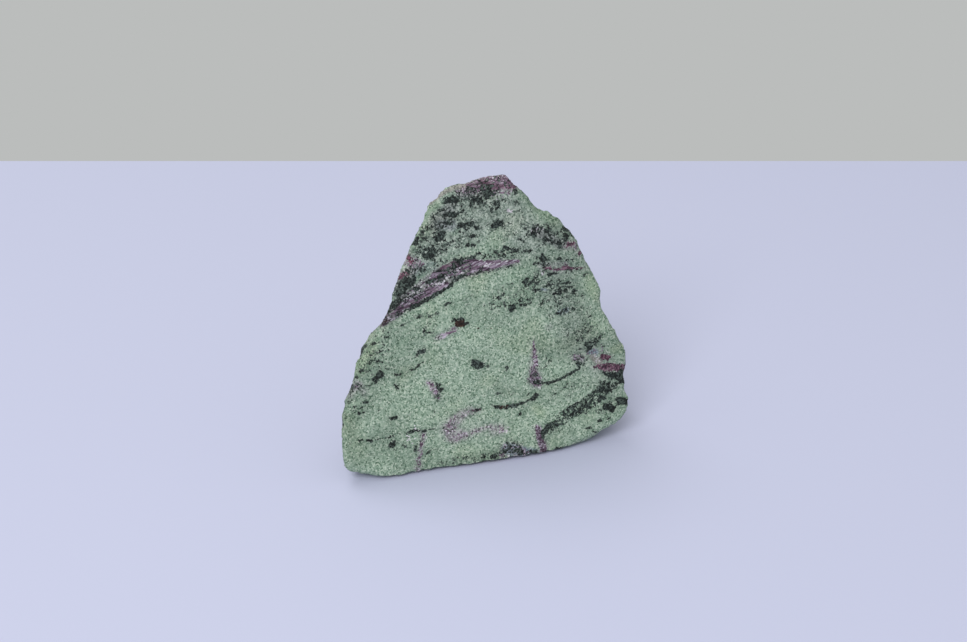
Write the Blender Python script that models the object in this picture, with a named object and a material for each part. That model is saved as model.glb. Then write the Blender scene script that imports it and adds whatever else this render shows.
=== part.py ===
"""A broken slab of ruby in zoisite, standing on its lower edge: one solid of rock.

The broad front face looks along -Y and leans back. Its edge is the outline that one sees from the
front. Behind that edge the walls run back and inwards to a smaller back face of several fracture
planes, so the slab is a wedge: thick at the foot, where it stands, and thinner at the top. Metres,
+Z up, with the origin on the ground under the middle of the stone's box.
"""

import math
import random

import bmesh
import bpy
import numpy as np
from mathutils import Matrix, Vector, geometry, noise

MM = 0.001

# Driving dimensions, in millimetres and degrees.
LEAN_DEG = 12.0  # how far the front face leans back from upright
FOOT_DEPTH = 30.0  # from the front face's lower edge to the main back face
EDGE_STEP = 1.25  # distance between points along the outline
FACE_STEP = 1.35  # distance between points across the front and back faces
WALL_ROWS = 20  # rows of points from the front edge to the back edge
GROUND = 0.4  # height in the outline at which the foot's high spots are worn flat
NET_SIZE = 0.7  # the even net that the small breaks and the relief are made on
TRIANGLES = 9200  # what the finished solid is thinned down to
SEED = 11

# The front edge as (x, z), clockwise from the top's left corner.
FRONT_OUTLINE = [
    (-13.4, 74.1), (-10.7, 75.5), (-6.9, 76.5), (-4.0, 76.9), (-0.9, 76.1), (3.0, 77.4),
    (10.4, 78.2), (12.9, 74.9), (15.9, 71.8), (18.6, 67.6), (23.0, 65.0), (24.8, 64.2),
    (25.5, 62.0), (27.8, 60.2), (29.4, 57.7), (30.5, 54.7), (32.3, 50.8), (35.2, 46.2),
    (36.3, 43.2), (35.5, 38.8), (37.8, 34.4), (40.2, 29.8), (42.1, 25.7), (42.3, 22.3),
    (41.3, 18.9), (41.9, 15.9), (40.6, 14.1), (42.2, 13.0), (42.7, 9.9), (40.7, 6.8),
    (36.2, 4.1), (31.0, 1.9), (26.8, 1.0), (21.9, -0.1), (19.8, -1.1), (15.5, -1.4),
    (7.5, -0.6), (0.0, -0.5), (-9.0, -0.4), (-14.5, 0.5), (-18.5, 0.0), (-24.0, -0.5),
    (-29.5, 0.5), (-35.0, 2.1), (-39.6, 3.3), (-41.1, 5.5), (-41.3, 12.0), (-40.9, 16.6),
    (-39.6, 19.8), (-36.8, 24.2), (-36.3, 29.0), (-35.3, 32.4), (-31.1, 36.2), (-27.7, 41.4),
    (-24.8, 46.6), (-21.4, 53.4), (-17.8, 59.1), (-16.9, 63.4), (-14.5, 67.5), (-14.1, 71.2),
]
CENTRE = (0.0, 34.0)  # tables below are read by the angle round this point, from +X towards +Z

# Round the edge, by angle: how wide the broken rim of the front face is, and how far it drops back.
RIM_BREAKS = [
    (-170.0, 1.6, 1.4), (-125.0, 1.2, 1.0), (-95.0, 1.0, 0.8), (-65.0, 1.6, 1.2), (-45.0, 2.4, 2.2),
    (-28.0, 1.2, 1.0), (-5.0, 2.4, 1.6), (20.0, 2.8, 1.8), (55.0, 3.4, 2.0), (78.0, 1.4, 1.0),
    (92.0, 1.2, 1.2), (105.0, 2.8, 2.4), (125.0, 1.6, 1.6), (160.0, 1.4, 1.6),
]

# Round the edge, by angle: how far inside the front edge the back edge lies.
BACK_INSETS = [
    (-165.0, 8.0), (-140.0, 5.0), (-118.0, 0.0), (-60.0, 0.0), (-45.0, 3.0), (-28.0, 4.0),
    (-8.0, 1.5), (20.0, 1.5), (45.0, 2.5), (65.0, 4.0), (80.0, 5.0), (100.0, 5.5), (125.0, 8.5),
    (165.0, 8.0),
]

# The back's fracture planes as (y at the middle, slope along x, slope along z, x, z of the middle).
# The rock lies in front of all of them.
BACK_PLANES = [
    (FOOT_DEPTH, 0.07, -0.02, 0.0, 34.0),
    (FOOT_DEPTH - 0.5, -0.03, -0.09, 4.0, 46.0),
    (FOOT_DEPTH - 2.5, 0.34, -0.08, -17.0, 26.0),
    (FOOT_DEPTH - 0.5, -0.38, -0.10, 29.0, 28.0),
    (FOOT_DEPTH - 1.5, 0.04, 0.55, -4.0, 5.0),
]

# Large breaks. Each takes away what stands past all of its planes, given as a point that they share
# and the outward direction of each: one plane is a cut, two are a ledge and three are a notch.
LARGE_BREAKS = [
    ((-35.5, 16.0, 10.0), [(-0.86, 0.42, -0.28)]),
    ((-31.0, 16.0, 33.0), [(-0.80, 0.50, 0.34)]),
    ((-18.0, 20.0, 55.0), [(-0.70, 0.52, 0.48)]),
    ((-4.0, 21.0, 74.4), [(-0.12, 0.46, 0.88)]),
    ((14.0, 21.0, 69.5), [(0.50, 0.36, 0.79)]),
    ((28.6, 19.0, 55.2), [(0.88, 0.22, 0.42)]),
    ((36.2, 22.0, 38.0), [(0.92, 0.38, 0.08)]),
    ((39.9, 18.0, 20.0), [(0.97, 0.20, -0.12)]),
    ((34.6, 15.0, 5.8), [(0.46, 0.16, -0.87)]),
    ((-22.0, 25.0, 2.0), [(-0.30, 0.62, -0.72)]),
    ((9.0, 26.8, 47.0), [(0.04, 0.98, 0.12), (-0.50, 0.45, 0.83)]),
    ((16.0, 27.2, 16.0), [(-0.05, 0.99, -0.10), (0.62, 0.50, -0.72)]),
    ((-12.0, 27.0, 26.0), [(-0.26, 0.96, 0.04), (-0.60, 0.45, -0.76)]),
    ((-34.0, 17.0, 22.0), [(-0.93, 0.28, 0.10), (-0.25, 0.35, -0.90)]),
    ((36.6, 16.0, 31.0), [(0.98, 0.12, 0.10), (0.20, 0.42, 0.88)]),
    ((24.5, 19.0, 60.0), [(0.80, 0.20, 0.50), (-0.30, 0.60, 0.74)]),
    ((-9.0, 25.6, 62.0), [(-0.20, 0.93, 0.30), (-0.80, 0.50, -0.50), (-0.10, 0.50, 0.85)]),
    ((3.0, 28.2, 33.0), [(0.10, 0.98, 0.10), (0.85, 0.50, 0.35), (-0.35, 0.50, 0.88)]),
]

# Scars where flakes have come off, as (centre of the ball that fits the scar, its radius).
SCARS = [
    ((-43.0, 25.0, 46.0), 16.0),
    ((42.0, 32.0, 54.0), 16.0),
    ((-18.0, 44.0, 12.0), 17.0),
    ((52.3, 20.0, 12.0), 13.0),
    ((20.0, 46.5, 31.0), 18.0),
]

# Small notches all over the walls and the back: (how many, least and most depth, and slope in
# degrees of the floor, by which it comes out of the rock again).
SMALL_BREAKS = [(20, 0.9, 1.9, 10.0), (46, 0.4, 0.9, 11.0)]
NOTCH_SPREAD_DEG = (35.0, 60.0)  # from the notch's middle line to each of its sides
RISER_LEAN = 0.6  # how far those sides lean outwards, as a slope
RIM_KEPT = 6.0  # a break reaches its full depth only this far behind the front face

FACE_SWELL, FACE_SWELL_SIZE = 0.5, 19.0  # the front face's gentle relief
BACK_SWELL, BACK_SWELL_SIZE = 0.5, 15.0  # the back's and the walls' coarser relief
FOOT_SWELL, FOOT_SWELL_SIZE = 1.5, 14.0  # the underside's, whose low parts stand on the ground
FOOT_CALM = 0.6  # how much of the walls' relief the underside is spared
CREASES, CREASE_SIZE = 0.7, 7.5  # sharp ridges between shallow bowls, on walls and back
FACE_CREASES = 0.2  # the same on the front face

ROCK_GREEN = (0.235, 0.315, 0.255, 1.0)
ROCK_ROUGHNESS = 0.72


def clear_scene():
    for obj in list(bpy.data.objects):
        bpy.data.objects.remove(obj)


def smooth(t):
    """Eases 0 to 1, and stays there outside them."""
    t = min(max(t, 0.0), 1.0)
    return t * t * (3.0 - 2.0 * t)


def by_angle(table, angle):
    """Reads a table of (degrees, values...) at an angle, eased between its rows and closed round 360."""
    rows = sorted(table)
    rows = [(rows[-1][0] - 360.0, *rows[-1][1:]), *rows, (rows[0][0] + 360.0, *rows[0][1:])]
    for low, high in zip(rows, rows[1:]):
        if low[0] <= angle <= high[0]:
            share = smooth((angle - low[0]) / (high[0] - low[0]))
            return [a + (b - a) * share for a, b in zip(low[1:], high[1:])]
    raise ValueError(f"no row for {angle} degrees")


def angle_of(x, z):
    return math.degrees(math.atan2(z - CENTRE[1], x - CENTRE[0]))


def even_loop(corners, step):
    """Points at even distances along a closed line, with every bend of the line kept."""
    points = []
    for start, end in zip(corners, corners[1:] + corners[:1]):
        a, b = Vector(start), Vector(end)
        count = max(1, round((b - a).length / step))
        points += [a.lerp(b, i / count) for i in range(count)]
    return points


def swell(point, size, offset):
    """Smooth relief from -1 to 1 or so, with hills about `size` across."""
    place = point / size + Vector((offset, 2.0 * offset, -offset))
    return 1.6 * noise.fractal(place, 1.0, 2.0, 3)


def creases(point, size):
    """Sharp ridges, up to 0, between bowls that reach down to -1 or so."""
    bowls = [abs(noise.noise(point * k / size + Vector((k, -k, 2.0 * k)))) / k for k in (1.0, 2.1)]
    return -1.5 * sum(bowls)


def behind_front(point):
    """How far a point lies behind the front face's plane, straight back."""
    return point.y - point.z * math.tan(math.radians(LEAN_DEG))


def distances_to(loop, points):
    """How far each 2D point is from a closed line."""
    start = np.array(loop)
    along = np.roll(start, -1, axis=0) - start
    share = ((points[:, None] - start) * along).sum(axis=2) / (along**2).sum(axis=1)
    nearest = start + np.clip(share, 0.0, 1.0)[..., None] * along
    return np.linalg.norm(points[:, None] - nearest, axis=2).min(axis=1)


def are_inside(loop, points):
    """Whether each 2D point is inside a closed line. A ray from inside crosses it an odd number of times."""
    start = np.array(loop)
    end = np.roll(start, -1, axis=0)
    level = end[:, 1] == start[:, 1]
    rise = np.where(level, 1.0, end[:, 1] - start[:, 1])
    x, z = points[:, None, 0], points[:, None, 1]
    spans = (start[:, 1] > z) != (end[:, 1] > z)
    crossing = start[:, 0] + (z - start[:, 1]) / rise * (end[:, 0] - start[:, 0])
    return (spans & (x < crossing)).sum(axis=1) % 2 == 1


def inner_points(loop, step, rng):
    """(x, z, distance to the line) of a jittered triangular grid inside a closed line, clear of the line."""
    low, high = np.min(loop, axis=0), np.max(loop, axis=0)
    rise = step * math.sqrt(0.75)
    rows, columns = int((high[1] - low[1]) / rise) + 1, int((high[0] - low[0]) / step) + 2
    grid = [
        (low[0] + (column + 0.5 * (row % 2)) * step, low[1] + row * rise)
        for row in range(rows)
        for column in range(columns)
    ]
    points = np.array(grid) + rng.uniform(-0.2 * step, 0.2 * step, (len(grid), 2))
    points = points[are_inside(loop, points)]
    distances = distances_to(loop, points)
    clear = distances > 0.6 * step
    return [(float(x), float(z), float(d)) for (x, z), d in zip(points[clear], distances[clear])]


def front_depth(x, z, edge_distance):
    """The front face's y: its lean, its swells and the rim that has broken away along the edge."""
    width, drop = by_angle(RIM_BREAKS, angle_of(x, z))
    rim = max(0.0, 1.0 - edge_distance / width)
    relief = FACE_SWELL * swell(Vector((x, 0.0, z)), FACE_SWELL_SIZE, 3.1)
    return z * math.tan(math.radians(LEAN_DEG)) + relief + drop * rim**1.4


def back_depth(x, z, _edge_distance):
    """The back face's y: that of the nearest fracture plane."""
    return min(y + sx * (x - x0) + sz * (z - z0) for y, sx, sz, x0, z0 in BACK_PLANES)


def add_face(bm, edge_verts, loop, depth_at, seed):
    """Fills a closed edge with an even net of triangles, whose points lie at y = depth_at(x, z, distance)."""
    inner = inner_points(loop, FACE_STEP, np.random.default_rng(seed))
    flat = loop + [Vector((x, z)) for x, z, _ in inner]
    outline = list(range(len(loop)))
    points, _, faces, origins, _, _ = geometry.delaunay_2d_cdt(flat, [], [outline], 1, 1e-5)
    verts = []
    for point, origin in zip(points, origins):
        if origin[0] < len(loop):
            verts.append(edge_verts[origin[0]])
        else:
            x, z, distance = inner[origin[0] - len(loop)]
            verts.append(bm.verts.new((x, depth_at(x, z, distance), z)))
    for face in faces:
        bm.faces.new([verts[i] for i in face])


def wall_point(front, back, share):
    """A point on the wall between the two edges. Under the foot it keeps to the foot's own relief."""
    point = front.lerp(back, share)
    under = 1.0 - smooth(min(front.z, back.z) / 5.0)
    relief = FOOT_SWELL * swell(point, FOOT_SWELL_SIZE, 5.7)
    point.z += under * (math.sin(math.pi * share) * relief - 0.7 * share * point.z)
    return point


def rough_block():
    """The closed block: a net of triangles over the front, rows along the walls, a net over the back."""
    bm = bmesh.new()
    front_loop = even_loop(FRONT_OUTLINE, EDGE_STEP)
    back_loop = []
    for point in front_loop:
        inward = (Vector(CENTRE) - point).normalized()
        back_loop.append(point + inward * by_angle(BACK_INSETS, angle_of(*point))[0])
    fronts = [Vector((p.x, front_depth(p.x, p.y, 0.0), p.y)) for p in front_loop]
    backs = [Vector((p.x, back_depth(p.x, p.y, 0.0), p.y)) for p in back_loop]
    rows = []
    for row in range(WALL_ROWS + 1):
        share = row / WALL_ROWS
        rows.append([bm.verts.new(wall_point(f, b, share)) for f, b in zip(fronts, backs)])
    for near, far in zip(rows, rows[1:]):
        for i in range(len(near)):
            j = (i + 1) % len(near)
            bm.faces.new((near[i], near[j], far[j], far[i]))
    add_face(bm, rows[0], front_loop, front_depth, SEED)
    add_face(bm, rows[-1], back_loop, back_depth, SEED + 1)
    bmesh.ops.recalc_face_normals(bm, faces=bm.faces)
    return bm


def break_off(bm, point, planes, reach=math.inf):
    """Takes away what stands past all of the planes through a point, and leaves the front edge whole."""
    for vert in bm.verts:
        away = vert.co - point
        past = [away.dot(plane) for plane in planes]
        least = min(past)
        if least > 0.0 and away.length < reach:
            kept = smooth(behind_front(vert.co) / RIM_KEPT)
            vert.co -= planes[past.index(least)] * least * kept


def break_scar(bm, centre, radius):
    """Hollows out what lies inside a ball."""
    for vert in bm.verts:
        away = vert.co - centre
        if away.length < radius:
            kept = smooth(behind_front(vert.co) / RIM_KEPT)
            vert.co += away.normalized() * (radius - away.length) * kept


def break_notch(bm, rng, depth, floor_slope):
    """A small notch somewhere on the walls or the back: a sloping floor between two risers."""
    bm.normal_update()
    bm.verts.ensure_lookup_table()
    vert = rng.choice(bm.verts)
    while behind_front(vert.co) < RIM_KEPT or vert.normal.z < -0.6:
        vert = rng.choice(bm.verts)
    outward = vert.normal.copy()
    middle = outward.orthogonal().normalized()
    middle.rotate(Matrix.Rotation(rng.uniform(0.0, 2.0 * math.pi), 3, outward))
    planes = [outward * math.cos(floor_slope) - middle * math.sin(floor_slope)]
    for side in (-1.0, 1.0):
        spread = math.radians(90.0 - rng.uniform(*NOTCH_SPREAD_DEG))
        riser = Matrix.Rotation(side * spread, 3, outward) @ middle
        planes.append((riser + outward * RISER_LEAN).normalized())
    break_off(bm, vert.co - outward * depth, planes, reach=1.5 * depth / math.tan(floor_slope))


def break_large(bm):
    for point, planes in LARGE_BREAKS:
        break_off(bm, Vector(point), [Vector(plane).normalized() for plane in planes])
    for centre, radius in SCARS:
        break_scar(bm, Vector(centre), radius)


def break_small(bm):
    rng = random.Random(SEED)
    for count, least, most, slope in SMALL_BREAKS:
        for _ in range(count):
            break_notch(bm, rng, rng.uniform(least, most), math.radians(slope))


def roughen(bm):
    """Swells and creases along each point's outward direction, slight on the front face."""
    bm.normal_update()
    heights = []
    for vert in bm.verts:
        facing_front = smooth((-vert.normal.y - 0.55) / 0.3)
        facing_down = smooth((-vert.normal.z - 0.6) / 0.3)
        creased = creases(vert.co, CREASE_SIZE)
        coarse = BACK_SWELL * swell(vert.co, BACK_SWELL_SIZE, 8.3) + CREASES * creased
        coarse *= 1.0 - FOOT_CALM * facing_down
        heights.append(coarse * (1.0 - facing_front) + FACE_CREASES * creased * facing_front)
    for vert, height in zip(bm.verts, heights):
        vert.co += vert.normal * height * smooth(abs(behind_front(vert.co)) / RIM_KEPT + 0.2)


def modify(bm, kind, **settings):
    """Puts the mesh through one of Blender's modifiers."""
    mesh = bpy.data.meshes.new("working")
    bm.to_mesh(mesh)
    working = bpy.data.objects.new("working", mesh)
    bpy.context.scene.collection.objects.link(working)
    modifier = working.modifiers.new("step", kind)
    for name, value in settings.items():
        setattr(modifier, name, value)
    graph = bpy.context.evaluated_depsgraph_get()
    bm.clear()
    bm.from_mesh(working.evaluated_get(graph).data)
    bpy.data.objects.remove(working)


def stand_on_ground(bm):
    """Wears the foot flat where it meets the ground, and centres the stone over the origin."""
    for vert in bm.verts:
        vert.co.z = max(vert.co.z - GROUND, 0.0)
    for axis in (0, 1):
        places = [vert.co[axis] for vert in bm.verts]
        middle = (min(places) + max(places)) / 2.0
        for vert in bm.verts:
            vert.co[axis] -= middle


def rock_material():
    material = bpy.data.materials.new("zoisite_rock")
    material.use_nodes = True
    shader = material.node_tree.nodes["Principled BSDF"]
    shader.inputs["Base Color"].default_value = ROCK_GREEN
    shader.inputs["Roughness"].default_value = ROCK_ROUGHNESS
    shader.inputs["Metallic"].default_value = 0.0
    return material


def make_stone():
    bm = rough_block()
    break_large(bm)
    modify(bm, "REMESH", mode="VOXEL", voxel_size=NET_SIZE)
    break_small(bm)
    modify(bm, "REMESH", mode="VOXEL", voxel_size=NET_SIZE)
    roughen(bm)
    bmesh.ops.triangulate(bm, faces=bm.faces)
    modify(bm, "DECIMATE", ratio=TRIANGLES / len(bm.faces))
    stand_on_ground(bm)
    bmesh.ops.scale(bm, vec=(MM, MM, MM), verts=bm.verts)
    mesh = bpy.data.meshes.new("stone")
    bm.to_mesh(mesh)
    bm.free()
    mesh.materials.append(rock_material())
    stone = bpy.data.objects.new("stone", mesh)
    bpy.context.scene.collection.objects.link(stone)


clear_scene()
make_stone()
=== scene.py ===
"""The looks of the ruby in zoisite: its finely broken surface, its minerals, the floor, light and camera.

Minerals are placed as marks. A mark is a line of pixels of the 967 x 642 photograph with a half-width
at each point. Each runs into the rock along the line of sight, so on the front face it is where the
photograph shows it, and on the walls it goes on as a vein does. The hidden sides get lenses of the
same minerals, lying along the same grain of the rock.
"""

import math
import random
from collections import namedtuple

import bmesh
import bpy
import numpy as np
from mathutils import Matrix, Vector, noise


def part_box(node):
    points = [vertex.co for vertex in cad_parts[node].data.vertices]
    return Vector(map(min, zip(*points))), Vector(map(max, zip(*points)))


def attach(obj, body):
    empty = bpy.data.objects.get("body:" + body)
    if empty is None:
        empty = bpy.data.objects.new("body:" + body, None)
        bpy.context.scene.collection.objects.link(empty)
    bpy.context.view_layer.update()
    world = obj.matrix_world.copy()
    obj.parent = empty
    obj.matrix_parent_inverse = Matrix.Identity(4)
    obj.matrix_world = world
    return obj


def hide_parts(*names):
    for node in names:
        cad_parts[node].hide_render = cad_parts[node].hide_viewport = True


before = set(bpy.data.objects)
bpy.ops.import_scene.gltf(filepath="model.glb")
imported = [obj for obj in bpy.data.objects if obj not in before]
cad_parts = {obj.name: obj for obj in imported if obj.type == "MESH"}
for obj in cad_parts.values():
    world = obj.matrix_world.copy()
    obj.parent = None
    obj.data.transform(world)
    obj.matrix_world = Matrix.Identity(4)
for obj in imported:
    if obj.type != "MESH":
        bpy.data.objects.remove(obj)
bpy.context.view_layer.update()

MM = 0.001
CAD_NODE = "stone"

# The camera, and the point of the stone's front face in the middle of its picture.
PHOTO_WIDTH, PHOTO_HEIGHT = 967, 642
FOCAL_PX = 2045
SENSOR_MM = 36
CAMERA_AZIMUTH = math.radians(-18)
CAMERA_ELEVATION = math.radians(25)
CAMERA_DISTANCE = 550 * MM
AIM_X, AIM_Z = 0.15 * MM, 39.2 * MM

# The front face is nearly a plane, which leans back. A facet of the CAD stone belongs to it if the
# cosine between their normals is over FACET_FACING.
FACE_LEAN = math.radians(12)
FACE_NORMAL = Vector((0, -math.cos(FACE_LEAN), math.sin(FACE_LEAN)))
FACET_FACING = 0.97

# The net of the finished surface.
NET_SIZE = 0.61 * MM
SMOOTH_STEPS = 5

# The sizes of the rock's round grains, of the clumps they lie in, and of the threads that ruby is
# drawn out in.
GRAIN_SIZE = 0.38 * MM
CLUMP_SIZE = 0.9 * MM
THREAD_SIZE = (1.7 * MM, 0.33 * MM, 0.5 * MM)

# How far the grains' places wander, over what distance, how much of a grain's pick is its clump's,
# how high a grain stands out, and how big the crumbs on it are.
WANDER = 0.4 * MM
WANDER_SIZE = 1.1 * MM
CLUMPING = 0.45
GRAIN_HEIGHT = 0.16 * MM
CRUMB_SIZE = 0.22 * MM

# The rock's grain, as the photograph shows it on the front face, rising to the right.
GRAIN_RISE = math.radians(16)


# ---- Camera geometry ----

def direction(azimuth, elevation):
    """Towards a place seen from the stone: the azimuth is 0 at -Y and grows towards +X."""
    level = math.cos(elevation)
    return Vector((math.sin(azimuth) * level, -math.cos(azimuth) * level, math.sin(elevation)))


def camera_axes():
    """The camera's right, up and backward directions."""
    back = direction(CAMERA_AZIMUTH, CAMERA_ELEVATION)
    right = Vector((0, 0, 1)).cross(back).normalized()
    return right, back.cross(right), back


def face_offset(cad):
    """How far the front face's plane lies from the origin, along its normal."""
    facets = [facet for facet in cad.data.polygons if facet.normal.dot(FACE_NORMAL) > FACET_FACING]
    front = [facet.center.dot(FACE_NORMAL) for facet in facets]
    return float(np.median(front))


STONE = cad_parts[CAD_NODE]
FACE_OFFSET = face_offset(STONE)
AIM = Vector((AIM_X, (AIM_Z * FACE_NORMAL.z - FACE_OFFSET) / -FACE_NORMAL.y, AIM_Z))
RIGHT, UP, BACK = camera_axes()
CAMERA_PLACE = AIM + CAMERA_DISTANCE * BACK


def in_photograph(points):
    """The pixel at which the photograph shows each point."""
    from_camera = points - np.array(CAMERA_PLACE)
    scale = FOCAL_PX / -(from_camera @ np.array(BACK))
    x = PHOTO_WIDTH / 2 + scale * (from_camera @ np.array(RIGHT))
    y = PHOTO_HEIGHT / 2 - scale * (from_camera @ np.array(UP))
    return x, y


# ---- Marks ----

Mark = namedtuple("Mark", "density fade points shallow")


def vein(density, fade, *points):
    """A mark that goes on through the rock."""
    return Mark(density, fade, points, False)


def spot(density, fade, *points):
    """A mark only a few millimetres deep."""
    return Mark(density, fade, points, True)


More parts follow.
